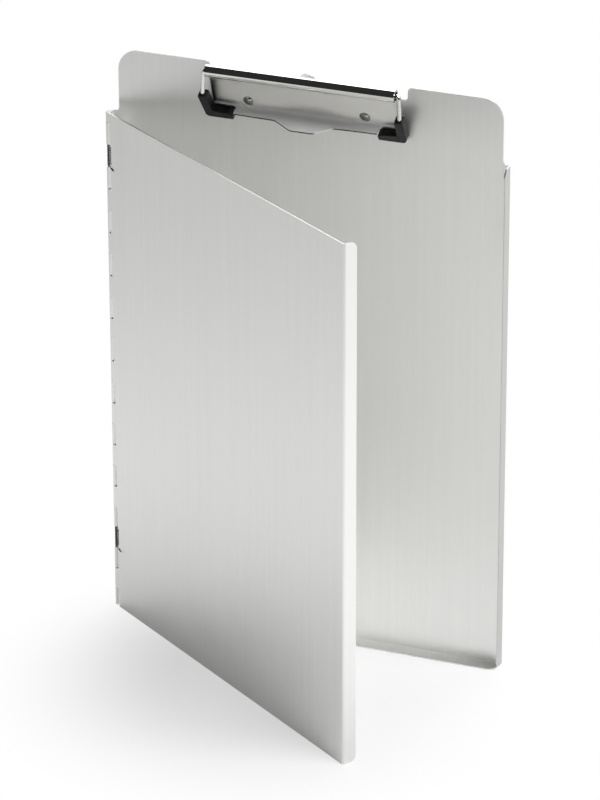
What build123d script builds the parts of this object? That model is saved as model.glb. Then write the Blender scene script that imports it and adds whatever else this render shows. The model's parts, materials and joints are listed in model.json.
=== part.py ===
"""Aluminium clipboard case: a shallow sheet tray with a clip at its head and a side-hinged cover.

The case stands upright on its lower edges. +X runs along the board to its free side, +Y to its
back and +Z up. The cover stands ajar. Sizes are in millimetres.
"""

import os
from math import asin, atan2, cos, degrees, hypot, pi, radians, sin, tan

from build123d import *

os.makedirs("parts", exist_ok=True)

# Sheet metal
sheet = 0.8
bend_outside = 1.4
flat_gap = 0.3

# Tray and head of the board
tray_width = 235.0
tray_height = 305.0
tray_depth = 9.4
axis_to_back = 8.85
shoulder_drop = 2.0
flange_corner = 5.0
corner_relief = 1.8
head_rise = 34.6
head_inset = 4.4
head_corner = 12.0
shoulder_round = 2.0
notch_width = 116.0
notch_depth = 7.1
notch_corner = 2.6
notch_root = 1.5

# Cover
cover_open = 34.5
rim_depth = 8.2
rim_gap = 0.4
rim_corner = 4.0

# Rolled hinge along the left side
pin_d = 1.6
pin_clearance = 0.05
pin_dome = 0.3
knuckle_count = 24
top_knuckle = 6.3
bottom_knuckle = 10.9
knuckle_gap = 0.3
tray_cut = 4.2
cover_cut = 3.7
spring_cut = 4.5

# Two torsion springs on the hinge pin, each in the place of a cover knuckle
spring_wire = 0.5
spring_turns = 12
spring_clearance = 0.05
spring_leg_gap = 0.3
spring_leg_over = 2.3
spring_leg_drop = 1.0
spring_leg_bend = 0.6
spring_face_gap = 0.05

# Clip: a riveted base, and a rolled plate that lifts on a wire frame with two corner boots
clip_sheet = 1.0
clip_length = 110.8
clip_below_head = 1.4
clip_proud = 11.5
clip_travel = 40.0
barrel_d = 7.0
barrel_seam = 0.3
plate_bend_outside = 3.2
plate_bend_drop = 21.9
plate_seat = 0.3
plate_corner_drop = 22.3
lip_fall = 27.0
lip_length = 3.8
lip_end_length = 3.0
tongue_length = 9.6
tongue_tip = 13.6
tongue_root = 35.0
tongue_round = 6.0
access_hole_d = 6.2

# Clip base with its ears, the rails of the hanging eye and two rivets
base_sheet = 0.6
base_below_pivot = 4.2
base_height = 15.3
ear_sheet = 1.0
ear_inset = 4.5
ear_slot_gap = 0.3
ear_ring_d = 4.4
ear_neck_d = 2.6
ear_foot = 2.6
rivet_spacing = 68.5
rivet_below_pivot = 17.5
rivet_shank_d = 2.8
rivet_head_d = 4.0
rivet_head_height = 0.8
rivet_tail_d = 5.0
rivet_tail_height = 0.7
rivet_clearance = 0.05

# Wire frame and boots
wire_d = 2.5
wire_bend = 1.6
wire_clearance = 0.05
wire_leg_drop = 13.2
wire_leg_splay = 0.6
wire_foot_drop = 26.3
wire_foot_proud = 2.8
wire_foot_inset = 1.2
wire_tail = 10.4
boot_thickness = 5.0
boot_inner = 42.5
boot_outer = 60.1
boot_taper = 1.2
boot_arm_width = 5.2
boot_arm_length = 15.7
boot_below_wire = 2.5
boot_toe_end = 1.0
boot_toe_rise = 3.4
boot_toe_slope = 2.5
boot_round = 0.8
boot_corner = 2.5
boot_edge = 0.5

# Hanging eye that slides up behind the clip
eye_sheet = 0.6
eye_width = 10.4
eye_above_head = 0.6
eye_hole_d = 4.5
eye_foot_width = 14.0
eye_foot_height = 1.5
eye_foot_drop = 17.2
eye_clearance = 0.1
rail_height = 2.2
rail_sheet = 0.7
rail_reach = 1.0

# Places that follow from the sizes. The origin is at the foot of the case, in the middle of its box.
knuckle_bore = pin_d / 2 + pin_clearance
knuckle_r = knuckle_bore + sheet
left_x = -tray_width / 2
right_x = tray_width / 2
axis_x = left_x + knuckle_r
cover_reach = right_x - axis_x + rim_gap + sheet
open_angle = radians(cover_open)
rim_turn = cover_reach - bend_outside
front_reach = rim_turn * sin(open_angle) + (knuckle_r - bend_outside) * cos(open_angle) + bend_outside
axis_y = (front_reach - axis_to_back - rivet_tail_height) / 2
back_y = axis_y + axis_to_back
face_y = back_y - sheet
front_y = back_y - tray_depth
tray_top = tray_height - shoulder_drop
head_top = tray_height + head_rise
hinge_relief = 2 * knuckle_r + corner_relief
knuckle_pitch = (tray_height - top_knuckle - bottom_knuckle) / (knuckle_count - 2)
spring_slots = {"upper": 3, "lower": knuckle_count - 3}
hinge_direction = (cos(open_angle), -sin(open_angle), 0)
cover_plane = Plane(origin=(axis_x, axis_y, 0), x_dir=hinge_direction, z_dir=(0, 0, 1))

pivot_y = face_y - clip_proud
pivot_z = head_top - clip_below_head
rivet_z = pivot_z - rivet_below_pivot
rivet_places = ((-rivet_spacing / 2, rivet_z), (rivet_spacing / 2, rivet_z))
base_face_y = face_y - base_sheet
ear_out = clip_length / 2 - ear_inset
ear_in = ear_out - ear_sheet
leg_x = clip_length / 2 + wire_bend


def knuckle_span(number):
    """Lower and upper end of a knuckle's place, counted from the top of the hinge."""
    upper = tray_height - (0 if number == 1 else top_knuckle + (number - 2) * knuckle_pitch)
    lower = tray_height - top_knuckle - (number - 1) * knuckle_pitch
    if number == knuckle_count:
        lower = 0
    return lower, upper


def knuckle_ends(number):
    """The same with half the running gap taken off each end that has a neighbour."""
    lower, upper = knuckle_span(number)
    lower += 0 if number == knuckle_count else knuckle_gap / 2
    upper -= 0 if number == 1 else knuckle_gap / 2
    return lower, upper


# Tray board: back, head and three flanges of one bent sheet, with its hinge knuckles
with BuildPart() as tray_board:
    with BuildSketch(Plane.XY.offset(corner_relief)):
        with BuildLine():
            FilletPolyline(
                (left_x, axis_y + tray_cut),
                (left_x, back_y),
                (right_x, back_y),
                (right_x, front_y),
                radius=bend_outside,
            )
            offset(amount=sheet, side=Side.RIGHT)
        make_face()
    extrude(amount=tray_top - corner_relief)
    right_flange_ends = tray_board.edges().filter_by(Axis.X).group_by(Axis.Y)[0]
    fillet(right_flange_ends, radius=flange_corner)

    with BuildSketch(Plane.YZ.offset(left_x + hinge_relief)):
        with BuildLine():
            FilletPolyline(
                (back_y, corner_relief + bend_outside),
                (back_y, 0),
                (front_y, 0),
                radius=bend_outside,
            )
            offset(amount=sheet, side=Side.RIGHT)
        make_face()
    extrude(amount=tray_width - hinge_relief - corner_relief)
    bottom_flange_ends = tray_board.edges().filter_by(Axis.Z).group_by(Axis.Y)[0]
    fillet(bottom_flange_ends.filter_by(lambda e: e.center().Z < sheet), radius=flange_corner)

    with BuildSketch(Plane.XZ.offset(-back_y)):
        with Locations((0, tray_top)):
            Rectangle(
                tray_width - 2 * head_inset,
                head_top - tray_top,
                align=(Align.CENTER, Align.MIN),
            )
        fillet(vertices().group_by(Axis.Y)[-1], radius=head_corner)
        with Locations((0, head_top)):
            Rectangle(notch_width, notch_depth, align=(Align.CENTER, Align.MAX), mode=Mode.SUBTRACT)
        notch_tops = vertices().group_by(Axis.Y)[-1].sort_by(Axis.X)[1:3]
        fillet(notch_tops, radius=notch_corner)
        notch_roots = vertices().filter_by(lambda v: abs(v.Y - head_top + notch_depth) < 0.01)
        fillet(notch_roots, radius=notch_root)
    extrude(amount=sheet)
    head_edge_x = tray_width / 2 - head_inset
    shoulder_roots = tray_board.edges().filter_by(Axis.Y).filter_by(
        lambda e: abs(e.center().Z - tray_top) < 0.01 and abs(abs(e.center().X) - head_edge_x) < 0.01
    )
    fillet(shoulder_roots, radius=shoulder_round)

    for number in range(2, knuckle_count + 1, 2):
        lower, upper = knuckle_ends(number)
        with BuildSketch(Plane.XY.offset(lower)):
            with Locations((axis_x, axis_y)):
                Circle(knuckle_r)
            with Locations((left_x, axis_y)):
                Rectangle(sheet, tray_cut, align=(Align.MIN, Align.MIN))
            with Locations((axis_x, axis_y)):
                Circle(knuckle_bore, mode=Mode.SUBTRACT)
        extrude(amount=upper - lower)

    with Locations(Plane.XZ.offset(-face_y)):
        with Locations(*rivet_places):
            Hole(rivet_shank_d / 2 + rivet_clearance)
tray_board.part.label = "tray_board"
export_step(tray_board.part, "parts/tray_board.step")


# Cover: one flat sheet with a rim along its free edge and knuckles along the other
with BuildPart() as cover:
    with BuildSketch(cover_plane):
        with BuildLine():
            FilletPolyline(
                (cover_cut, -knuckle_r),
                (cover_reach, -knuckle_r),
                (cover_reach, rim_depth - knuckle_r),
                radius=bend_outside,
            )
            offset(amount=sheet, side=Side.LEFT)
        make_face()
    extrude(amount=tray_height)
    rim_ends = cover.edges().filter_by(Axis((0, 0, 0), hinge_direction)).group_by(
        Axis((axis_x, axis_y, 0), cover_plane.y_dir)
    )[-1]
    fillet(rim_ends, radius=rim_corner)

    for number in range(1, knuckle_count, 2):
        if number in spring_slots.values():
            continue
        lower, upper = knuckle_ends(number)
        with BuildSketch(cover_plane.offset(lower)):
            Circle(knuckle_r)
            with Locations((0, -knuckle_r)):
                Rectangle(cover_cut, sheet, align=(Align.MIN, Align.MIN))
            Circle(knuckle_bore, mode=Mode.SUBTRACT)
        extrude(amount=upper - lower)

    for number in spring_slots.values():
        lower, upper = knuckle_ends(number)
        with BuildSketch(cover_plane.offset(lower)):
            with Locations((cover_cut, -knuckle_r)):
                Rectangle(spring_cut - cover_cut, sheet, align=(Align.MIN, Align.MIN))
        extrude(amount=upper - lower, mode=Mode.SUBTRACT)
cover.part.label = "cover"
export_step(cover.part, "parts/cover.step")


# Hinge pin: one rod from the foot to the top of the hinge, rounded at its ends
with BuildPart() as hinge_pin:
    with BuildSketch(Plane.XY):
        with Locations((axis_x, axis_y)):
            Circle(pin_d / 2)
    extrude(amount=tray_height)
    fillet(hinge_pin.edges().filter_by(GeomType.CIRCLE), radius=pin_dome)
hinge_pin.part.label = "hinge_pin"
export_step(hinge_pin.part, "parts/hinge_pin.step")


def biarc(start, start_way, end, end_way):
    """Two tangent arcs from one point and direction to another."""
    chord = end - start
    ways = start_way + end_way
    a = 2 * (start_way.dot(end_way) - 1)
    b = -2 * chord.dot(ways)
    c = chord.dot(chord)
    reach = (-b - (b * b - 4 * a * c) ** 0.5) / (2 * a)
    knee_start = start + start_way * reach
    knee_end = end - end_way * reach
    middle = (knee_start + knee_end) * 0.5
    TangentArc(start, middle, tangent=start_way)
    TangentArc(middle, end, tangent=knee_end - knee_start)


# Hinge springs: each winds round the pin between two knuckles of the tray, with one leg that rises
# over the cut edge of the cover and lies on its face, and one against the cut edge of the tray
coil_r = pin_d / 2 + spring_clearance + spring_wire / 2
coil_start = -pi / 2 - open_angle
coil_turn = 2 * pi * spring_turns + pi / 2 - open_angle
half_turns = 2 * spring_turns + 1


def coil_point(share, bottom, top):
    """A point of the coil and its direction there, at a share of the way up."""
    angle = coil_start - share * coil_turn
    height = bottom + share * (top - bottom)
    point = Vector(axis_x + coil_r * cos(angle), axis_y + coil_r * sin(angle), height)
    climb = (top - bottom) / coil_turn if 0 < share < 1 else 0
    return point, Vector(coil_r * sin(angle), -coil_r * cos(angle), climb).normalized()


def hinge_spring_path(slot):
    """Cover leg, coil and tray leg of a spring, from the bottom up."""
    lower, upper = knuckle_ends(slot)
    bottom = lower + spring_wire / 2
    top = upper - spring_wire / 2
    places = [coil_point(step / half_turns, bottom, top) for step in range(half_turns + 1)]
    foot = places[0][0]
    along = -places[0][1]
    rise = Vector(cos(coil_start), sin(coil_start), 0) * (
        knuckle_r + spring_face_gap + spring_wire / 2 - coil_r
    )
    tray_leg = tray_cut - spring_leg_gap
    with BuildLine() as path:
        FilletPolyline(
            foot + along * (spring_cut + spring_leg_over) + rise - Vector(0, 0, spring_leg_drop),
            foot + along * (spring_cut - spring_leg_gap) + rise,
            foot + along * (knuckle_r + spring_leg_gap),
            foot,
            radius=spring_leg_bend,
        )
        for (start, start_way), (end, end_way) in zip(places, places[1:]):
            biarc(start, start_way, end, end_way)
        Line(places[-1][0], places[-1][0] + places[-1][1] * tray_leg)
    return path.wire()


def least_gap(path, apart):
    """Least clear distance between stretches of a coiled wire that are over a length apart."""
    count = int(path.length / (spring_wire / 2))
    points = [path.position_at(step / count) for step in range(count + 1)]
    skip = int(apart / path.length * count)
    return min(
        (one - other).length
        for index, one in enumerate(points)
        for other in points[index + skip : index + 3 * skip]
    ) - spring_wire


upper_path = hinge_spring_path(spring_slots["upper"])
with BuildPart() as hinge_spring_upper:
    with BuildSketch(Plane(origin=upper_path @ 0, z_dir=upper_path % 0)):
        Circle(spring_wire / 2)
    sweep(path=upper_path)
hinge_spring_upper.part.label = "hinge_spring_upper"
export_step(hinge_spring_upper.part, "parts/hinge_spring_upper.step")

lower_path = hinge_spring_path(spring_slots["lower"])
with BuildPart() as hinge_spring_lower:
    with BuildSketch(Plane(origin=lower_path @ 0, z_dir=lower_path % 0)):
        Circle(spring_wire / 2)
    sweep(path=lower_path)
hinge_spring_lower.part.label = "hinge_spring_lower"
export_step(hinge_spring_lower.part, "parts/hinge_spring_lower.step")
print("least gap between the turns of a hinge spring", round(least_gap(upper_path, pi * coil_r), 3))


# Clip base: a flat sheet riveted to the head, with two ears for the wire, two rails for the eye and
# a gap in its upper edge that leaves the eye's hole free from behind
base_top = pivot_z - base_below_pivot
with BuildPart() as clip_base:
    with BuildSketch(Plane.XZ.offset(-face_y)):
        with Locations((0, base_top)):
            Rectangle(2 * ear_out, base_height, align=(Align.CENTER, Align.MAX))
        with Locations((0, head_top - notch_depth)):
            Rectangle(eye_width, notch_depth, align=(Align.CENTER, Align.MIN), mode=Mode.SUBTRACT)
    extrude(amount=base_sheet)
    with BuildSketch(Plane.YZ.offset(ear_in)):
        with Locations((pivot_y, pivot_z)):
            Circle(ear_neck_d / 2)
        with Locations((face_y, base_top)):
            Rectangle(base_sheet, ear_foot, align=(Align.MAX, Align.MAX))
        make_hull()
        with Locations((pivot_y, pivot_z)):
            Circle(ear_ring_d / 2)
            Circle(wire_d / 2 + wire_clearance, mode=Mode.SUBTRACT)
    extrude(amount=ear_sheet)
    rail_in = eye_width / 2 + eye_clearance
    rail_front = base_sheet + eye_clearance + eye_sheet + eye_clearance
    with BuildSketch(Plane.XY.offset(base_top)):
        with Locations((rail_in, base_face_y)):
            Rectangle(rail_sheet, rail_front, align=(Align.MIN, Align.MAX))
        with Locations((rail_in + rail_sheet, face_y - rail_front)):
            Rectangle(rail_sheet + rail_reach, rail_sheet, align=(Align.MAX, Align.MAX))
    extrude(amount=-rail_height)
    mirror(about=Plane.YZ)
    with Locations(Plane.XZ.offset(-base_face_y)):
        with Locations(*rivet_places):
            Hole(rivet_shank_d / 2 + rivet_clearance)
clip_base.part.label = "clip_base"
export_step(clip_base.part, "parts/clip_base.step")


# Clip plate: barrel, sloping plate and flared lip with its thumb tongue, rolled from one sheet
bend_y = face_y - plate_seat - plate_bend_outside
bend_z = pivot_z - plate_bend_drop
barrel_r = barrel_d / 2
span_y = bend_y - pivot_y
span_z = pivot_z - bend_z
plate_lean = atan2(span_y, span_z) - asin((barrel_r - plate_bend_outside) / hypot(span_y, span_z))
plate_rear = (cos(plate_lean), sin(plate_lean))
plate_down = (sin(plate_lean), -cos(plate_lean))
lip_angle = radians(lip_fall)
lip_out = (-cos(lip_angle), -sin(lip_angle))
corner_reach = plate_bend_outside * tan((pi / 2 + plate_lean - lip_angle) / 2)
plate_top = (pivot_y + barrel_r * plate_rear[0], pivot_z + barrel_r * plate_rear[1])
plate_foot = (bend_y + plate_bend_outside * plate_rear[0], bend_z + plate_bend_outside * plate_rear[1])
plate_corner = (
    plate_foot[0] + corner_reach * plate_down[0],
    plate_foot[1] + corner_reach * plate_down[1],
)
tongue_end = (
    plate_corner[0] + (corner_reach + tongue_length) * lip_out[0],
    plate_corner[1] + (corner_reach + tongue_length) * lip_out[1],
)
lip_start_y = plate_corner[0] + corner_reach * lip_out[0]
lip_start_z = plate_corner[1] + corner_reach * lip_out[1]
lip_plane = Plane(
    origin=(0, lip_start_y, lip_start_z), x_dir=(1, 0, 0), z_dir=(0, -lip_out[1], lip_out[0])
)
plate_plane = Plane(
    origin=(0, plate_foot[0], plate_foot[1]), x_dir=(1, 0, 0), z_dir=(0, -plate_rear[0], -plate_rear[1])
)
lip_half = boot_inner - flat_gap
ear_angle = atan2(pivot_z - base_top + ear_foot / 2, face_y - pivot_y)
lifted_ear_angle = ear_angle - radians(clip_travel)
slot_half = ear_neck_d / 2 + ear_slot_gap
slot_outline = [
    (-slot_half * sin(ear_angle), -slot_half * cos(ear_angle)),
    (
        barrel_d * cos(ear_angle) - slot_half * sin(ear_angle),
        -barrel_d * sin(ear_angle) - slot_half * cos(ear_angle),
    ),
    (barrel_d * cos(ear_angle), -barrel_d * sin(ear_angle)),
    (
        barrel_d * cos(lifted_ear_angle) + slot_half * sin(lifted_ear_angle),
        -barrel_d * sin(lifted_ear_angle) + slot_half * cos(lifted_ear_angle),
    ),
    (slot_half * sin(lifted_ear_angle), slot_half * cos(lifted_ear_angle)),
]
hole_up_plate = (rivet_z - plate_foot[1]) / cos(plate_lean)

with BuildPart() as clip_plate:
    with BuildSketch(Plane.YZ.offset(-clip_length / 2)):
        with Locations((pivot_y, pivot_z)):
            Circle(barrel_r)
            Circle(barrel_r - clip_sheet, mode=Mode.SUBTRACT)
        with Locations(Location((plate_top[0], plate_top[1], 0), degrees(plate_lean))):
            Rectangle(
                clip_sheet + barrel_seam,
                barrel_d,
                align=(Align.MAX, Align.MAX),
                mode=Mode.SUBTRACT,
            )
    extrude(amount=clip_length)
    with BuildSketch(Plane.YZ.offset(-clip_length / 2)):
        with BuildLine():
            FilletPolyline(plate_top, plate_corner, tongue_end, radius=plate_bend_outside)
            offset(amount=clip_sheet, side=Side.RIGHT)
        make_face()
    extrude(amount=clip_length)
    with BuildSketch(lip_plane.offset(-2 * clip_sheet)):
        with BuildLine():
            FilletPolyline(
                (-clip_length / 2, lip_end_length),
                (-tongue_root / 2, lip_length),
                (-tongue_tip / 2, tongue_length),
                (tongue_tip / 2, tongue_length),
                (tongue_root / 2, lip_length),
                (clip_length / 2, lip_end_length),
                radius=tongue_round,
            )
            Polyline(
                (clip_length / 2, lip_end_length),
                (clip_length / 2, 2 * tongue_length),
                (-clip_length / 2, 2 * tongue_length),
                (-clip_length / 2, lip_end_length),
            )
        make_face()
    extrude(amount=4 * clip_sheet, mode=Mode.SUBTRACT)
    for side in (-1, 1):
        with BuildSketch(Plane.XZ.offset(-back_y)):
            with Locations((side * lip_half, pivot_z - plate_corner_drop)):
                Rectangle(
                    clip_length / 2,
                    barrel_d * 2,
                    align=(Align.MIN if side > 0 else Align.MAX, Align.MAX),
                )
        extrude(amount=2 * clip_proud, mode=Mode.SUBTRACT)
        slot_middle = side * (ear_in + ear_out) / 2
        slot_width = ear_sheet + 2 * ear_slot_gap
        with BuildSketch(Plane.YZ.offset(slot_middle - slot_width / 2)):
            with BuildLine():
                Polyline(*[(pivot_y + y, pivot_z + z) for y, z in slot_outline], close=True)
            make_face()
        extrude(amount=slot_width, mode=Mode.SUBTRACT)
    with Locations(plate_plane):
        with Locations((-rivet_spacing / 2, hole_up_plate), (rivet_spacing / 2, hole_up_plate)):
            Hole(access_hole_d / 2, depth=2 * clip_sheet)
clip_plate.part.label = "clip_plate"
export_step(clip_plate.part, "parts/clip_plate.step")


# Clip wire: one wire through the ears and the barrel, with a leg and a turned-in foot on each side
wire_foot_y = face_y - wire_foot_proud
wire_foot_z = pivot_z - wire_foot_drop
wire_leg_z = pivot_z - wire_leg_drop
wire_foot_x = leg_x + wire_leg_splay - wire_foot_inset
wire_side = [
    (wire_foot_x - wire_tail, wire_foot_y, wire_foot_z),
    (wire_foot_x, wire_foot_y, wire_foot_z),
    (leg_x + wire_leg_splay, pivot_y, wire_leg_z),
    (leg_x, pivot_y, pivot_z),
]
with BuildLine() as wire_line:
    FilletPolyline(
        *wire_side,
        *[(-x, y, z) for x, y, z in reversed(wire_side)],
        radius=wire_bend,
    )
wire_path = wire_line.wire()
with BuildPart() as clip_wire:
    with BuildSketch(Plane(origin=wire_path @ 0, z_dir=wire_path % 0)):
        Circle(wire_d / 2)
    sweep(path=wire_path)
clip_wire.part.label = "clip_wire"
export_step(clip_wire.part, "parts/clip_wire.step")


# Corner boots: moulded over the feet of the wire, each an arm and a toe in the wire's sloping plane
boot_lean = atan2(wire_foot_y - pivot_y, wire_leg_z - wire_foot_z)
boot_plane = Plane(
    origin=(0, wire_foot_y, wire_foot_z),
    x_dir=(1, 0, 0),
    z_dir=(0, -cos(boot_lean), -sin(boot_lean)),
)
arm_inner = boot_outer - boot_arm_width
with BuildPart() as corner_boot_right:
    with BuildSketch(boot_plane.offset(-boot_thickness / 2)):
        with BuildLine():
            FilletPolyline(
                (boot_inner, -boot_below_wire),
                (boot_inner, boot_toe_end),
                (boot_inner + boot_toe_slope, boot_toe_rise - boot_toe_end),
                (arm_inner - boot_taper / 2, boot_toe_rise),
                (arm_inner, boot_arm_length),
                (boot_outer, boot_arm_length),
                (boot_outer - boot_taper, -boot_below_wire),
                radius=[boot_round] * 6 + [boot_corner],
                close=True,
            )
        make_face()
    extrude(amount=boot_thickness)
    boot_front = corner_boot_right.faces().sort_by(Axis(boot_plane.origin, boot_plane.z_dir))[-1]
    fillet(boot_front.edges(), radius=boot_edge)
    with BuildSketch(Plane.XZ.offset(-face_y - boot_thickness)):
        with Locations((boot_inner, pivot_z)):
            Rectangle(2 * boot_arm_length, 3 * wire_foot_drop, align=(Align.MIN, Align.CENTER))
    extrude(amount=boot_thickness + plate_seat, mode=Mode.SUBTRACT)
    add(clip_wire.part, mode=Mode.SUBTRACT)
corner_boot_right.part.label = "corner_boot_right"
export_step(corner_boot_right.part, "parts/corner_boot_right.step")

with BuildPart() as corner_boot_left:
    mirror(corner_boot_right.part, about=Plane.YZ)
corner_boot_left.part.label = "corner_boot_left"
export_step(corner_boot_left.part, "parts/corner_boot_left.step")


# Rivets: domed heads on the clip base, tails flared against the back of the board
rivet_grip = base_sheet + sheet
with BuildPart() as clip_rivet_right:
    rivet_origin = (rivet_spacing / 2, base_face_y, rivet_z)
    with BuildSketch(Plane(origin=rivet_origin)):
        with BuildLine():
            Line((0, 0), (0, -rivet_head_height))
            ThreePointArc(
                (0, -rivet_head_height),
                (0.3 * rivet_head_d, -0.7 * rivet_head_height),
                (rivet_head_d / 2, 0),
            )
            Polyline(
                (rivet_head_d / 2, 0),
                (rivet_shank_d / 2, 0),
                (rivet_shank_d / 2, rivet_grip),
                (rivet_tail_d / 2, rivet_grip),
                (rivet_shank_d / 2, rivet_grip + rivet_tail_height),
                (0, rivet_grip + rivet_tail_height),
                (0, 0),
            )
        make_face()
    revolve(axis=Axis(rivet_origin, (0, 1, 0)))
clip_rivet_right.part.label = "clip_rivet_right"
export_step(clip_rivet_right.part, "parts/clip_rivet_right.step")

with BuildPart() as clip_rivet_left:
    mirror(clip_rivet_right.part, about=Plane.YZ)
clip_rivet_left.part.label = "clip_rivet_left"
export_step(clip_rivet_left.part, "parts/clip_rivet_left.step")


# Hanging eye: a round-topped tab with a wider foot that stops under the rails
eye_back_y = base_face_y - eye_clearance
eye_top = head_top + eye_above_head
eye_foot_z = pivot_z - eye_foot_drop
with BuildPart() as hanging_eye:
    with BuildSketch(Plane.XZ.offset(-eye_back_y)):
        with Locations((0, eye_foot_z)):
            Rectangle(eye_foot_width, eye_foot_height, align=(Align.CENTER, Align.MIN))
            Rectangle(
                eye_width,
                eye_top - eye_foot_z - eye_width / 2,
                align=(Align.CENTER, Align.MIN),
            )
        with Locations((0, eye_top - eye_width / 2)):
            Circle(eye_width / 2)
            Circle(eye_hole_d / 2, mode=Mode.SUBTRACT)
    extrude(amount=eye_sheet)
hanging_eye.part.label = "hanging_eye"
export_step(hanging_eye.part, "parts/hanging_eye.step")

print("hinge axis", round(axis_x, 3), round(axis_y, 3))
print("clip pivot", round(pivot_y, 3), round(pivot_z, 3))
print("hanging eye hole", round(eye_back_y - eye_sheet / 2, 3), round(eye_top - eye_width / 2, 3))
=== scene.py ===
# %% [markdown]
# # An aluminium clipboard case
# The object is a form holder: a shallow tray of bent sheet aluminium with a clip at its head and a
# rimmed cover on a rolled side hinge. Its solids come packed as a fixed frame, in metres, and each
# one stands where it belongs. This lesson gives them their finishes and lights the case as it
# stands in a white studio.

import json
import math

import bpy
from mathutils import Matrix, Vector


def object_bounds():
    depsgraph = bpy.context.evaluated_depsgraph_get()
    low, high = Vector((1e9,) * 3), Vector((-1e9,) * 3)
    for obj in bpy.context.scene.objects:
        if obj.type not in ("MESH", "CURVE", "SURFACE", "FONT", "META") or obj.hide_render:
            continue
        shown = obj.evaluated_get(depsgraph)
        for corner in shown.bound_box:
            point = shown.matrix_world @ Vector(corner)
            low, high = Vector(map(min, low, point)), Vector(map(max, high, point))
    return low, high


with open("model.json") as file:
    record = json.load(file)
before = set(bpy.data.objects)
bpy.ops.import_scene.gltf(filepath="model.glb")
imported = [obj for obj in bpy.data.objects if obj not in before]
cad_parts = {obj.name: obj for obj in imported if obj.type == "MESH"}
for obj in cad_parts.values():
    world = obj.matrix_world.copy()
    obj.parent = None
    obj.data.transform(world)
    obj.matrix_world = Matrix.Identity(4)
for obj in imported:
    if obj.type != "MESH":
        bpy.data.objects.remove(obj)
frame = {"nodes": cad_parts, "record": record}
cad_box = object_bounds()
nodes = frame["nodes"]

# %% [markdown]
# ## The way the camera looks
# A long lens from far away keeps the case's edges nearly parallel. The camera could be aimed with a
# tracking constraint, but two angles and a small roll can be measured on a photograph. They give
# the camera's three axes: to its right, up, and back towards the viewer.

# %% Axes of the camera
azimuth = math.radians(21.85)
elevation = math.radians(24.14)
roll = math.radians(0.134)
back_way = Vector((
    math.sin(azimuth) * math.cos(elevation),
    -math.cos(azimuth) * math.cos(elevation),
    math.sin(elevation),
))
level_right = Vector((math.cos(azimuth), math.sin(azimuth), 0.0))
level_up = back_way.cross(level_right)
right_way = math.cos(roll) * level_right - math.sin(roll) * level_up
up_way = math.sin(roll) * level_right + math.cos(roll) * level_up
print("the camera's back points to", [round(value, 3) for value in back_way])

# %% [markdown]
# ## Where the camera stands
# The foot of the hinge is a sharp point that is easy to find in the picture. Its pixel, its
# distance and the focal length in pixels say where the camera stands: it is the place from which
# the foot is seen at that pixel. Moving the camera by eye would end there too, after many tries.

# %% Camera placed by the foot of the hinge
picture_width, picture_height = 600, 800
focal_pixels = 4617.5
hinge_foot_pixel = (118.65, 603.28)
hinge_foot_depth = 2.685
record = frame["record"]


def named(entries, name):
    """The entry of a list in the record that has this name."""
    return next(entry for entry in entries if entry["name"] == name)


hinge = named(record["behaviour"]["joints"], "cover_swing")
hinge_foot = Vector((hinge["pos_m"][0], hinge["pos_m"][1], 0.0))
foot_right = (hinge_foot_pixel[0] - picture_width / 2) / focal_pixels * hinge_foot_depth
foot_up = -(hinge_foot_pixel[1] - picture_height / 2) / focal_pixels * hinge_foot_depth
camera_place = hinge_foot - foot_right * right_way - foot_up * up_way + hinge_foot_depth * back_way
camera_turn = Matrix((right_way, up_way, back_way)).transposed().to_4x4()

camera_data = bpy.data.cameras.new("view_of_case")
camera_data.sensor_width = 36.0
camera_data.lens = camera_data.sensor_width * focal_pixels / picture_height
camera_data.clip_end = 20.0
camera = bpy.data.objects.new("view_of_case", camera_data)
camera.matrix_world = Matrix.Translation(camera_place) @ camera_turn
bpy.context.collection.objects.link(camera)
bpy.context.scene.camera = camera
print("lens", round(camera_data.lens, 1), "mm at", [round(value, 3) for value in camera_place])

# %% [markdown]
# ## Shader helpers
# Every finish below is a small tree of nodes. Written out, each node takes a line for itself, one
# for each value and one for each link. The helpers take a dictionary instead: a plain value is
# written into the input, and the output of another node is linked to it.

# %% Helpers that make materials and nodes
def fill(tree, node, inputs):
    """Each named or numbered input gets a value, or a link if it is given a socket."""
    for key, value in inputs.items():
        if isinstance(value, bpy.types.NodeSocket):
            tree.links.new(value, node.inputs[key])
        else:
            node.inputs[key].default_value = value


def add_node(tree, kind, inputs=None, **properties):
    """A node of a kind with its properties and its inputs."""
    node = tree.nodes.new(kind)
    for key, value in properties.items():
        setattr(node, key, value)
    fill(tree, node, inputs or {})
    return node


def new_material(name):
    """A material with nodes: to begin with a Principled shader and the output."""
    material = bpy.data.materials.new(name)
    material.use_nodes = True
    return material


def tree_and_shader(material):
    """The node tree of a material and its Principled shader."""
    return material.node_tree, material.node_tree.nodes["Principled BSDF"]


print("helpers", fill.__name__, add_node.__name__, new_material.__name__, tree_and_shader.__name__)

# %% [markdown]
# ## Sums and masks
# Most of the nodes add, multiply or compare, and most masks are a value that runs from one number
# to another while something else, such as a height, runs through a range. These helpers return the
# output socket, so one call can stand inside the next as in a formula.

# %% Helpers that return a socket
def math_node(tree, operation, first, second):
    """The result of a Math node; each of its two terms is a socket or a number."""
    return add_node(tree, "ShaderNodeMath", {0: first, 1: second}, operation=operation).outputs[0]


def vector_node(tree, operation, *terms):
    """The result of a Vector Math node: a number for a length or a dot product, or a vector."""
    node = add_node(tree, "ShaderNodeVectorMath", dict(enumerate(terms)), operation=operation)
    return node.outputs["Value" if operation in ("LENGTH", "DOT_PRODUCT") else "Vector"]


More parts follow.
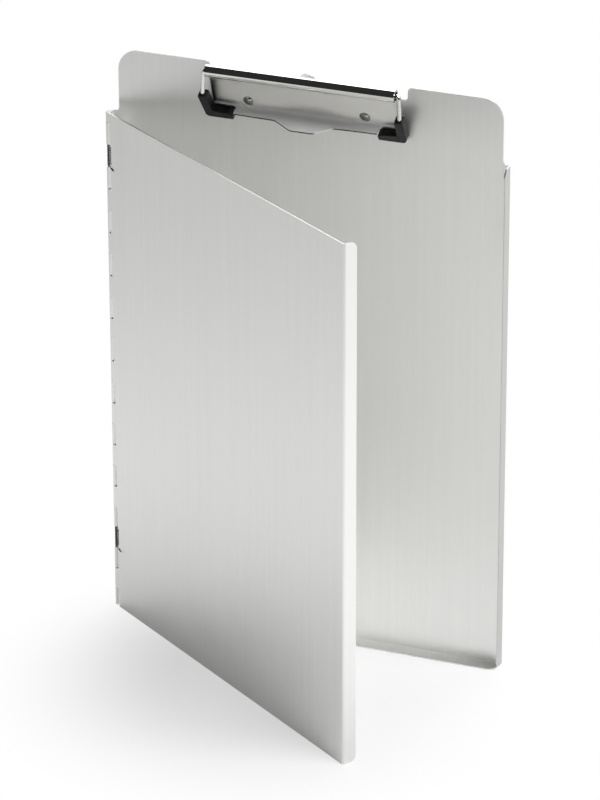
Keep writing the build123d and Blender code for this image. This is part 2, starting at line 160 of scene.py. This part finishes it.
def ramp(tree, source, start, end, low=0.0, high=1.0, curve="LINEAR"):
    """A value that runs from low to high while the source runs from start to end."""
    node = add_node(tree, "ShaderNodeMapRange", {
        "Value": source, "From Min": start, "From Max": end, "To Min": low, "To Max": high,
    }, interpolation_type=curve)
    return node.outputs["Result"]


def mix(tree, kind, share, first, second):
    """All of the first where the share is 0 and all of the second where it is 1."""
    ends = {"Factor": share, "A": first, "B": second}
    return add_node(tree, "ShaderNodeMix", ends, data_type=kind).outputs["Result"]


print("helpers", math_node.__name__, vector_node.__name__, ramp.__name__, mix.__name__)

# %% [markdown]
# ## The white studio
# The photograph has no horizon: floor and background are one white. Metal shows whatever stands
# around it, so the room matters as much as the lamps. A photographer's tent is white behind and
# beside the object and open towards the camera. Modelled walls would do, but a world that is
# painted by direction has no corners. The top of its white wall slopes: it is high behind the case
# and falls towards the camera, and the dark above it gives the rolled head of the clip its black
# band.

# %% Room around the case
wall_top = 0.12
wall_fade = 0.06
wall_slope = 0.45
ceiling_grey = 0.03
away_from_camera = (-math.sin(azimuth), math.cos(azimuth), 0.0)
world = bpy.data.worlds.new("studio_room")
bpy.context.scene.world = world
world.use_nodes = True
room = world.node_tree
direction = add_node(room, "ShaderNodeTexCoord").outputs["Generated"]
upwards = add_node(room, "ShaderNodeSeparateXYZ", {0: direction}).outputs["Z"]
behind = vector_node(room, "DOT_PRODUCT", direction, away_from_camera)
level = math_node(room, "SUBTRACT", upwards, math_node(room, "MULTIPLY", behind, wall_slope))
wall = ramp(room, level, wall_top, wall_top + wall_fade, 1.0, ceiling_grey, "SMOOTHSTEP")
fill(room, room.nodes["Background"], {"Color": wall})
bpy.context.scene.view_settings.view_transform = "Standard"
print("white wall beside the case up to", round(math.degrees(math.asin(wall_top))), "degrees")

# %% [markdown]
# ## The paper floor
# The case stands on matt white paper, which takes the lamps and the soft shadow. A studio bends its
# paper up into a backdrop, but the metal would mirror that bend. One large plane has none, and its
# far edge is hidden by the white that the next cells mix in.

# %% Plane of paper
paper_side = 40.0
paper_white = 0.86
bpy.ops.mesh.primitive_plane_add(size=paper_side, location=(0.0, 0.0, 0.0))
floor = bpy.context.object
floor.name = "studio_floor"
paper = new_material("paper_floor")
paper_tree, paper_shader = tree_and_shader(paper)
fill(paper_tree, paper_shader, {
    "Base Color": (paper_white, paper_white, paper_white, 1.0),
    "Roughness": 0.9,
    "Specular IOR Level": 0.1,
})
print(floor.name, paper_side, "m wide")

# %% [markdown]
# ## White in the distance
# Around the object a studio's floor is lit until it is plain white. Stronger lamps would do it, but
# they would wash the shadow out. Here an even white is mixed into the paper, part of it close to
# the case and all of it further out, with a mask that grows with the distance. Only rays that look
# at the floor, straight or in a mirror, get it: for the light itself the floor stays paper. The
# metal mirrors more of the shadow than the eye sees on the paper, so each kind of ray has its mask.

# %% Shares of even white
seen_lift, mirror_lift = 0.60, 0.18
seen_from, seen_white = 0.05, 0.17
mirror_from, mirror_white = 0.05, 0.40
floor_place = add_node(paper_tree, "ShaderNodeTexCoord").outputs["Object"]
distance = vector_node(paper_tree, "LENGTH", floor_place)
seen_mask = ramp(paper_tree, distance, seen_from, seen_white, seen_lift, 1.0, "SMOOTHSTEP")
mirror_mask = ramp(paper_tree, distance, mirror_from, mirror_white, mirror_lift, 1.0, "SMOOTHSTEP")
ray = add_node(paper_tree, "ShaderNodeLightPath")
seen_share = math_node(paper_tree, "MULTIPLY", ray.outputs["Is Camera Ray"], seen_mask)
mirror_share = math_node(paper_tree, "MULTIPLY", ray.outputs["Is Glossy Ray"], mirror_mask)
white_share = math_node(paper_tree, "ADD", seen_share, mirror_share)
print("floor white beyond", seen_white, "m, and in mirrors beyond", mirror_white, "m")

# %% [markdown]
# ## The white that the metal mirrors
# In the metal the white isn't endless: it ends before the camera, and it fades towards the left,
# away from the lamps; that fade is painted light, a falloff that the lamps don't make on the
# emission. A smaller plane would end too, but with a hard edge. Two more masks dim the white
# instead, for every ray but the camera's own. The white is an emission, because neither lamps nor
# shadows change that.

# %% Even white that fades in mirrors
dark_from, dark_to = -0.80, -1.20
camera_side_grey = 0.04
left_end, right_end = -0.85, 0.15
left_light, right_light = 0.60, 1.16
depth = vector_node(paper_tree, "DOT_PRODUCT", floor_place, away_from_camera)
camera_side = ramp(paper_tree, depth, dark_to, dark_from, camera_side_grey, 1.0, "SMOOTHSTEP")
sideways = add_node(paper_tree, "ShaderNodeSeparateXYZ", {0: floor_place}).outputs["X"]
# Painted light: the mirrored white is dimmer to the left, away from the lamps, and brighter at the
# right.
painted_light_falloff = ramp(paper_tree, sideways, left_end, right_end, left_light, right_light)
mirrored = math_node(paper_tree, "MULTIPLY", camera_side, painted_light_falloff)
strength = mix(paper_tree, "FLOAT", ray.outputs["Is Camera Ray"], mirrored, 1.0)
even_white = add_node(paper_tree, "ShaderNodeEmission", {
    "Color": (1.0, 1.0, 1.0, 1.0), "Strength": strength,
})
either = add_node(paper_tree, "ShaderNodeMixShader", {
    "Fac": white_share, 1: paper_shader.outputs[0], 2: even_white.outputs[0],
})
fill(paper_tree, paper_tree.nodes["Material Output"], {"Surface": either.outputs[0]})
floor.data.materials.append(paper)
print("mirrored white ends", -dark_from, "to", -dark_to, "m before the case")

# %% [markdown]
# ## The lamps
# The soft shadow lies in front of the cover and to the left of the hinge, so the light comes from
# above, from behind and from the right. A point lamp would draw a hard edge; large area lamps give
# a soft one, and they also draw the white lines on the rolled edges. The overhead lamp hangs behind
# the case, half way between the horizon and the zenith, so that a mirror that leans back is white
# and one that leans forward is black. The key lamp, above at the right, lights the paper and the
# inside of the case, and a weak one lower down fills in at the same side.

# %% Three softboxes
def softbox(name, place, aim, size, power):
    """A square area lamp that looks at a point."""
    lamp = bpy.data.lights.new(name, "AREA")
    lamp.size = size
    lamp.energy = power
    box = bpy.data.objects.new(name, lamp)
    box.location = place
    box.rotation_euler = (Vector(aim) - Vector(place)).to_track_quat("-Z", "Y").to_euler()
    bpy.context.collection.objects.link(box)
    print(name, power, "W, radiance", round(power / (math.pi * size * size), 2))


case_middle = (0.0, 0.0, 0.15)
softbox("overhead_softbox", place=(-0.2, 1.75, 2.0), aim=(0.0, 0.3, 0.1), size=1.9, power=34.0)
softbox("key_softbox", place=(1.1, -0.16, 1.55), aim=case_middle, size=1.0, power=29.0)
softbox("side_softbox", place=(1.7, -0.4, 0.8), aim=case_middle, size=1.3, power=2.0)

# %% [markdown]
# ## Effects that the materials share
# Grain, wear and the traces of hands are on more than one material. Copied nodes would have to be
# changed in each of them, so every such effect is a node group: it is built once, and each material
# places it with values of its own.

# %% Helpers for node groups
def new_group(name, inputs, outputs):
    """An empty group with float inputs and their values, and outputs with their kinds."""
    tree = bpy.data.node_groups.new(name, "ShaderNodeTree")
    for title, value in inputs.items():
        socket = tree.interface.new_socket(title, in_out="INPUT", socket_type="NodeSocketFloat")
        socket.default_value = value
    for title, kind in outputs.items():
        tree.interface.new_socket(title, in_out="OUTPUT", socket_type="NodeSocket" + kind)
    return tree, tree.nodes.new("NodeGroupInput"), tree.nodes.new("NodeGroupOutput")


def add_group(tree, group, inputs=None):
    """A placed group with its own values."""
    return add_node(tree, "ShaderNodeGroup", inputs, node_tree=group)


print("helpers", new_group.__name__, add_group.__name__)

# %% [markdown]
# ## Grain of the sheet
# The sheet is aluminium, ground in one direction and then anodised, which leaves short, fine lines
# that run up the board. An image of brushed metal would do, but a noise that is stretched along the
# lines costs no file and never repeats. Two sizes of it are mixed: the fine lines themselves, and
# broader soft streaks that show from further away. The wires and the clip use the same group with
# other values.

# %% Node group for lines drawn along Z
# Streaks for each fine line, across the grain and along it.
streak_share_across = 0.16
streak_share_along = 0.12


def stretched_noise(tree, across, along, detail):
    """Noise of so many lines per metre across X and Y and along Z; both are sockets."""
    place = add_node(tree, "ShaderNodeTexCoord").outputs["Object"]
    lines = add_node(tree, "ShaderNodeCombineXYZ", {"X": across, "Y": across, "Z": along})
    stretched = vector_node(tree, "MULTIPLY", place, lines.outputs[0])
    noise = add_node(tree, "ShaderNodeTexNoise", {
        "Vector": stretched, "Scale": 1.0, "Detail": detail, "Roughness": 0.6,
    })
    return noise.outputs["Fac"]


grain, grain_in, grain_out = new_group(
    "drawn_grain",
    {"Lines per Metre": 2600.0, "Lines Along": 60.0, "Depth": 0.00001},
    {"Lines": "Float", "Streaks": "Float", "Normal": "Vector"},
)
across, along = grain_in.outputs["Lines per Metre"], grain_in.outputs["Lines Along"]
fine_lines = stretched_noise(grain, across, along, detail=3.0)
broad_across = math_node(grain, "MULTIPLY", across, streak_share_across)
broad_along = math_node(grain, "MULTIPLY", along, streak_share_along)
soft_streaks = stretched_noise(grain, broad_across, broad_along, detail=2.0)
grain_bump = add_node(grain, "ShaderNodeBump", {
    "Strength": 1.0, "Distance": grain_in.outputs["Depth"], "Height": fine_lines,
})
fill(grain, grain_out, {
    "Lines": fine_lines, "Streaks": soft_streaks, "Normal": grain_bump.outputs["Normal"],
})
print("grain group", len(grain.nodes), "nodes")

# %% [markdown]
# ## Worn edges
# The cut edges of the sheet and the corners of the clip are what hands and desks touch, so the
# finish is rubbed bright there. The edges could be painted by hand, but a Bevel node finds them: it
# returns the normal of a rounded edge, and where that differs from the flat normal there is an
# edge. A coarse noise breaks the mask up, because no edge wears evenly.

# %% Node group for the edge mask
edge_from, edge_full = 0.995, 0.80
patch_from, patch_full = 0.35, 0.65
least_worn = 0.25
wear, wear_in, wear_out = new_group(
    "worn_edges", {"Width": 0.0004, "Patches per Metre": 90.0, "Amount": 0.6}, {"Mask": "Float"}
)
rounded = add_node(wear, "ShaderNodeBevel", {"Radius": wear_in.outputs["Width"]}, samples=6)
flat = add_node(wear, "ShaderNodeNewGeometry")
turned = vector_node(wear, "DOT_PRODUCT", rounded.outputs["Normal"], flat.outputs["Normal"])
spots = add_node(wear, "ShaderNodeTexNoise", {
    "Vector": add_node(wear, "ShaderNodeTexCoord").outputs["Object"],
    "Scale": wear_in.outputs["Patches per Metre"],
    "Detail": 3.0,
    "Roughness": 0.6,
})
patchy = ramp(wear, spots.outputs["Fac"], patch_from, patch_full, least_worn, 1.0)
worn = math_node(wear, "MULTIPLY", ramp(wear, turned, edge_from, edge_full), patchy)
fill(wear, wear_out, {"Mask": math_node(wear, "MULTIPLY", worn, wear_in.outputs["Amount"])})
print("wear group", len(wear.nodes), "nodes")

# %% [markdown]
# ## Traces of hands
# Anodised metal is never evenly clean: where it is held, the gloss changes in soft clouds a few
# centimetres wide. Smudges could be drawn one by one, but one low noise is enough, and it goes to
# the roughness more than to the colour.

# %% Node group for soft clouds
cloud_from, cloud_full = 0.3, 0.7
handling, handling_in, handling_out = new_group(
    "handling_clouds", {"Clouds per Metre": 14.0}, {"Clouds": "Float"}
)
cloud_noise = add_node(handling, "ShaderNodeTexNoise", {
    "Vector": add_node(handling, "ShaderNodeTexCoord").outputs["Object"],
    "Scale": handling_in.outputs["Clouds per Metre"],
    "Detail": 4.0,
    "Roughness": 0.55,
    "Distortion": 0.4,
})
clouds = ramp(handling, cloud_noise.outputs["Fac"], cloud_from, cloud_full)
fill(handling, handling_out, {"Clouds": clouds})
print("cloud group", len(handling.nodes), "nodes")

# %% [markdown]
# ## A metal from the three groups
# All the metals of the case share one recipe: a colour that the lines and clouds make a little
# lighter or darker, a roughness that they move around its middle, and rubbed edges that are
# brighter and smoother. Each metal could be wired by hand; a helper writes the recipe once, and
# each finish gives its own numbers.

# %% Recipe for a metal
def span(tree, mask, low, high):
    """A mask from 0 to 1 spread between two numbers."""
    return ramp(tree, mask, 0.0, 1.0, low, high)


def scaled(tree, color, factor):
    """A colour made lighter or darker by a factor."""
    node = add_node(tree, "ShaderNodeVectorMath", {0: color, "Scale": factor}, operation="SCALE")
    return node.outputs["Vector"]


def new_metal(name, color, rubbed, tone, rough, rough_move, edge_rough,
              lines, along, depth, edge_width):
    """A drawn metal with clouds and worn edges."""
    material = new_material(name)
    tree, shader = tree_and_shader(material)
    drawn = add_group(tree, grain, {"Lines per Metre": lines, "Lines Along": along, "Depth": depth})
    fine, streaks = drawn.outputs["Lines"], drawn.outputs["Streaks"]
    cloudy = add_group(tree, handling).outputs["Clouds"]
    edges = add_group(tree, wear, {"Width": edge_width}).outputs["Mask"]
    shade = math_node(tree, "ADD", span(tree, fine, -tone, tone), span(tree, streaks, -tone, tone))
    cloud_shade = span(tree, cloudy, 1.0 - tone / 2, 1.0 + tone / 2)
    toned = scaled(tree, color, math_node(tree, "ADD", shade, cloud_shade))
    line_gloss = span(tree, fine, rough - rough_move, rough + rough_move)
    gloss = math_node(tree, "ADD", line_gloss, span(tree, cloudy, -rough_move, rough_move))
    fill(tree, shader, {
        "Base Color": mix(tree, "RGBA", edges, toned, (*rubbed, 1.0)),
        "Roughness": mix(tree, "FLOAT", edges, gloss, edge_rough),
        "Metallic": 1.0,
        "Normal": drawn.outputs["Normal"],
    })
    print(name, len(tree.nodes), "nodes")
    return material


# %% [markdown]
# ## The satin sheet
# Tray and cover are cut from one sheet and share a finish: a pale grey with a trace of warmth, matt
# enough to blur what stands in front of it. The lines spread a reflection sideways more than up and
# down. A very fine bump could do that, but the shader's anisotropy does it without noise. Its
# direction, left alone, runs around Z, so on an upright sheet it is level, as it should be for
# lines that run up.

# %% Satin aluminium
satin = new_metal(
    "satin_aluminium", color=(0.90, 0.90, 0.885), rubbed=(0.93, 0.93, 0.92), tone=0.03, rough=0.43,
    rough_move=0.03, edge_rough=0.28, lines=2600.0, along=45.0, depth=0.00001, edge_width=0.0004,
)
satin_tree, satin_shader = tree_and_shader(satin)
satin_shader.inputs["Anisotropic"].default_value = 0.35
print("satin sheet, anisotropy", round(satin_shader.inputs["Anisotropic"].default_value, 2))

# %% [markdown]
# ## The outside of the tray
# The tray's back and its right flange come out too bright under the lamps, so their colour is
# darkened: this is painted shade, not a finish of their own. A second material would need the faces
# sorted by hand; a mask made from the place on the sheet, which is full just under the two outer
# faces and gone within the sheet's thickness, finds them by itself.

# %% Mask for the outer faces
mask_depth = 0.0006
mask_end = 0.0002
right_at = cad_box[1][0]
back_at = named(record["mounts"], "back_face")["pos_m"][1]
sheet_place = add_node(satin_tree, "ShaderNodeTexCoord")
on_sheet = add_node(satin_tree, "ShaderNodeSeparateXYZ", {0: sheet_place.outputs["Object"]})
outer_masks = [
    ramp(satin_tree, on_sheet.outputs[axis], face_at - mask_depth, face_at - mask_end)
    for axis, face_at in (("X", right_at), ("Y", back_at))
]
outside = math_node(satin_tree, "MAXIMUM", *outer_masks)
print("duller beyond x", round(right_at - mask_depth, 4), "and y", round(back_at - mask_depth, 4))

# %% [markdown]
# ## Painted shade on the top edges
# The sheet was sheared to its outline; its cut edges at the top look up, and their colour is
# darkened with the same painted shade as the outer faces. They are found by two masks: they look
# up, and they lie near the top. One darkening serves both places. It scales the colour instead of
# replacing it, so the drawn lines stay.

# %% Painted shade on the outside and the top edges
# Painted shade: the tray's back, its right flange and its top edges keep only this share of their
# colour.
painted_shade_share = 0.60
upright_from, upright_full = 0.85, 0.97
top_from, top_full = 0.290, 0.300
facing = add_node(satin_tree, "ShaderNodeSeparateXYZ", {0: sheet_place.outputs["Normal"]})
looks_up = ramp(satin_tree, facing.outputs["Z"], upright_from, upright_full)
near_top = ramp(satin_tree, on_sheet.outputs["Z"], top_from, top_full)
sheared = math_node(satin_tree, "MULTIPLY", looks_up, near_top)
painted_shade_mask = math_node(satin_tree, "MAXIMUM", outside, sheared)
ground_color = satin_shader.inputs["Base Color"].links[0].from_socket
shade_scale = span(satin_tree, painted_shade_mask, 1.0, painted_shade_share)
fill(satin_tree, satin_shader, {"Base Color": scaled(satin_tree, ground_color, shade_scale)})
print("mill side and sheared edges at", painted_shade_share, "of the ground colour")

# %% [markdown]
# ## Nickel on the clip
# The clip is pressed from steel and nickel plated. The plate has a satin sheen, softer than
# chrome: the boots show in it only as a dark cloud. Its head is burnished by the rolling, so it
# mirrors sharply. The roll could be cut off as a mesh with a material of its own; a mask made from
# the distance to the roll's axis leaves the piece whole. The hanging eye has the same plate.

# %% Plate with a burnished roll
burnished_radius = 0.0037
burnished_fade = 0.0012
burnished_rough = 0.09


def lay_over(tree, shader, name, kind, mask, value):
    """What feeds an input of the shader gives way to a value where the mask is 1."""
    under = shader.inputs[name].links[0].from_socket
    fill(tree, shader, {name: mix(tree, kind, mask, under, value)})


nickel = new_metal(
    "nickel_plate", color=(0.74, 0.735, 0.72), rubbed=(0.84, 0.83, 0.81), tone=0.02, rough=0.30,
    rough_move=0.02, edge_rough=0.16, lines=1500.0, along=250.0, depth=0.000002, edge_width=0.0003,
)
nickel_tree, nickel_shader = tree_and_shader(nickel)
roll_axis = named(record["behaviour"]["joints"], "clip_jaw_lift")
nickel_place = add_node(nickel_tree, "ShaderNodeTexCoord")
from_axis = vector_node(nickel_tree, "SUBTRACT", nickel_place.outputs["Object"], roll_axis["pos_m"])
square_to_axis = vector_node(nickel_tree, "MULTIPLY", from_axis, (0.0, 1.0, 1.0))
off_axis = vector_node(nickel_tree, "LENGTH", square_to_axis)
burnished_end = burnished_radius + burnished_fade
roll_mask = ramp(nickel_tree, off_axis, burnished_radius, burnished_end, 1.0, 0.0)
lay_over(nickel_tree, nickel_shader, "Roughness", "FLOAT", roll_mask, burnished_rough)
print("burnished within", round(burnished_radius * 1000, 1), "mm of the roll's axis")

# %% [markdown]
# ## Pale bend and lip
# Below the sloping plate, the bend and the lip are made pale and matt, and they mirror next to
# nothing. This is painted light: the roll above keeps the lamps' light from them, and the pale
# colour stands in for the bright reflection of their nickel. A second material on those faces would
# do it; a mask made from the height under the roll's axis changes the same material there instead,
# and makes it lighter, rougher and hardly metallic.

# %% Painted light on the bend and the lip
lit_lip_below_axis = 0.0210
height_fade = 0.0008
lit_lip_metal = 0.05
lit_lip_rough = 0.65
# Painted light: a pale colour that stands in for the bright reflection of the lip.
painted_lip_light = (0.93, 0.925, 0.91, 1.0)
plate_height = add_node(nickel_tree, "ShaderNodeSeparateXYZ", {0: from_axis}).outputs["Z"]


def below_axis(drop):
    """A mask for the nickel that lies lower than this under the roll's axis."""
    return ramp(nickel_tree, plate_height, -drop - height_fade, -drop + height_fade, 1.0, 0.0)


lit_lip_mask = below_axis(lit_lip_below_axis)
lay_over(nickel_tree, nickel_shader, "Roughness", "FLOAT", lit_lip_mask, lit_lip_rough)
lay_over(nickel_tree, nickel_shader, "Base Color", "RGBA", lit_lip_mask, painted_lip_light)
fill(nickel_tree, nickel_shader, {"Metallic": span(nickel_tree, lit_lip_mask, 1.0, lit_lip_metal)})
print("coat from", round(lit_lip_below_axis * 1000, 1), "mm under the roll's axis")

# %% [markdown]
# ## Painted shade on the cut edge
# The cut edge at the foot of the lip faces down and forwards, into the shade under the lip, and it
# is painted nearly black: painted shade and a painted dark reflection. The way that a face looks
# tells the edge from the lip. The sloping plate above looks nearly the same way, so the height has
# to agree as well.

# %% Painted shade on the edge at the foot of the lip
shaded_edge_below_axis = 0.0240
shaded_edge_way = (-0.15, -0.88, -0.45)
shaded_edge_from, shaded_edge_full = 0.82, 0.92
# Painted shade: the near-black colour of the edge at the foot of the lip.
painted_edge_shade = (0.05, 0.05, 0.05, 1.0)
same_way = vector_node(nickel_tree, "DOT_PRODUCT", nickel_place.outputs["Normal"], shaded_edge_way)
edge_shade_mask = ramp(nickel_tree, same_way, shaded_edge_from, shaded_edge_full)
edge_shade_share = math_node(nickel_tree, "MULTIPLY", edge_shade_mask, below_axis(shaded_edge_below_axis))
lay_over(nickel_tree, nickel_shader, "Base Color", "RGBA", edge_shade_share, painted_edge_shade)
print("nickel_plate with its masks", len(nickel_tree.nodes), "nodes")

# %% [markdown]
# ## The clip's base and wire
# The riveted base is given a darker, duller colour than the plate. It is seen only under the plate
# and through its holes, and the darker colour is painted shade for that recess. The bent wire is
# smooth, since drawing polishes it. One nickel could serve for all three, but the eye tells them
# apart, and the recipe makes two more finishes with a call each.

# %% Base with painted shade and polished wire
# Painted shade: the base's darker colour stands for the shade under the plate and in its holes.
shaded_base_nickel = new_metal(
    "shaded_base_nickel", color=(0.42, 0.415, 0.40), rubbed=(0.60, 0.59, 0.57), tone=0.04, rough=0.38,
    rough_move=0.04, edge_rough=0.25, lines=1500.0, along=400.0, depth=0.000004, edge_width=0.0003,
)
wire_nickel = new_metal(
    "nickel_wire", color=(0.70, 0.70, 0.69), rubbed=(0.80, 0.79, 0.77), tone=0.02, rough=0.13,
    rough_move=0.03, edge_rough=0.10, lines=3000.0, along=120.0, depth=0.000004, edge_width=0.0002,
)

# %% [markdown]
# ## Pin, springs and rivets
# The hinge pin is plain drawn steel, the two springs are dark oiled wire, and the rivets are
# aluminium with a darker colour than the plate, which is painted shade for the holes that they sit
# in. They are small in the picture, so plain colours would nearly do, but the recipe costs one call
# each and still holds in a close view.

# %% Small metal parts
pin_steel = new_metal(
    "drawn_pin_steel", color=(0.52, 0.52, 0.51), rubbed=(0.65, 0.65, 0.64), tone=0.05, rough=0.30,
    rough_move=0.05, edge_rough=0.22, lines=4000.0, along=90.0, depth=0.000006, edge_width=0.0002,
)
spring_steel = new_metal(
    "oiled_spring_steel", color=(0.13, 0.13, 0.125), rubbed=(0.30, 0.29, 0.27), tone=0.10,
    rough=0.36, rough_move=0.06, edge_rough=0.25, lines=3000.0, along=900.0, depth=0.000006,
    edge_width=0.0001,
)
# Painted shade: the rivets' darker colour stands for the shade in the plate's holes.
rivet_metal = new_metal(
    "rivet_painted_shade", color=(0.52, 0.52, 0.51), rubbed=(0.74, 0.74, 0.73), tone=0.05, rough=0.25,
    rough_move=0.05, edge_rough=0.20, lines=1800.0, along=1800.0, depth=0.00001, edge_width=0.0003,
)

# %% [markdown]
# ## Moulded boots
# The corners that press on the paper wear boots of black plastic. The mould was spark eroded, so
# the skin has a fine, even roughness instead of a gloss, and the corners are rubbed a little grey.
# Real pits would take a very dense mesh; a fine noise gives the bump, and the edge group gives the
# rubbed corners.

# %% Black moulded plastic
pits_per_metre = 3500.0
pit_depth = 0.00003
boot_dark = (0.006, 0.006, 0.0065, 1.0)
boot_rubbed = (0.022, 0.022, 0.022, 1.0)
least_rough, most_rough = 0.36, 0.48
boot_black = new_material("black_moulding")
boot_tree, boot_shader = tree_and_shader(boot_black)
skin = add_node(boot_tree, "ShaderNodeTexNoise", {
    "Vector": add_node(boot_tree, "ShaderNodeTexCoord").outputs["Object"],
    "Scale": pits_per_metre,
    "Detail": 2.0,
    "Roughness": 0.5,
})
skin_bump = add_node(boot_tree, "ShaderNodeBump", {
    "Strength": 0.5, "Distance": pit_depth, "Height": skin.outputs["Fac"],
})
boot_wear = add_group(boot_tree, wear, {
    "Width": 0.0005, "Patches per Metre": 250.0, "Amount": 0.5,
})
boot_clouds = add_group(boot_tree, handling, {"Clouds per Metre": 120.0}).outputs["Clouds"]
fill(boot_tree, boot_shader, {
    "Base Color": mix(boot_tree, "RGBA", boot_wear.outputs["Mask"], boot_dark, boot_rubbed),
    "Roughness": span(boot_tree, boot_clouds, least_rough, most_rough),
    "Specular IOR Level": 0.32,
    "Normal": skin_bump.outputs["Normal"],
})
print("black_moulding", len(boot_tree.nodes), "nodes")

# %% [markdown]
# ## Finishes go on
# Every solid of the frame keeps its shape and gets its finish. A rule on the names would be
# shorter, but a dictionary reads like a parts list, and a piece that it misses shows in the count.

# %% Assign the finishes
finishes = {
    "tray_board": satin,
    "cover": satin,
    "hinge_pin": pin_steel,
    "hinge_spring_upper": spring_steel,
    "hinge_spring_lower": spring_steel,
    "clip_base": shaded_base_nickel,
    "clip_plate": nickel,
    "clip_wire": wire_nickel,
    "corner_boot_left": boot_black,
    "corner_boot_right": boot_black,
    "clip_rivet_left": rivet_metal,
    "clip_rivet_right": rivet_metal,
    "hanging_eye": nickel,
}
for name, material in finishes.items():
    mesh = nodes[name].data
    mesh.materials.clear()
    mesh.materials.append(material)
print("finished", len(finishes), "of", len(nodes), "solids")
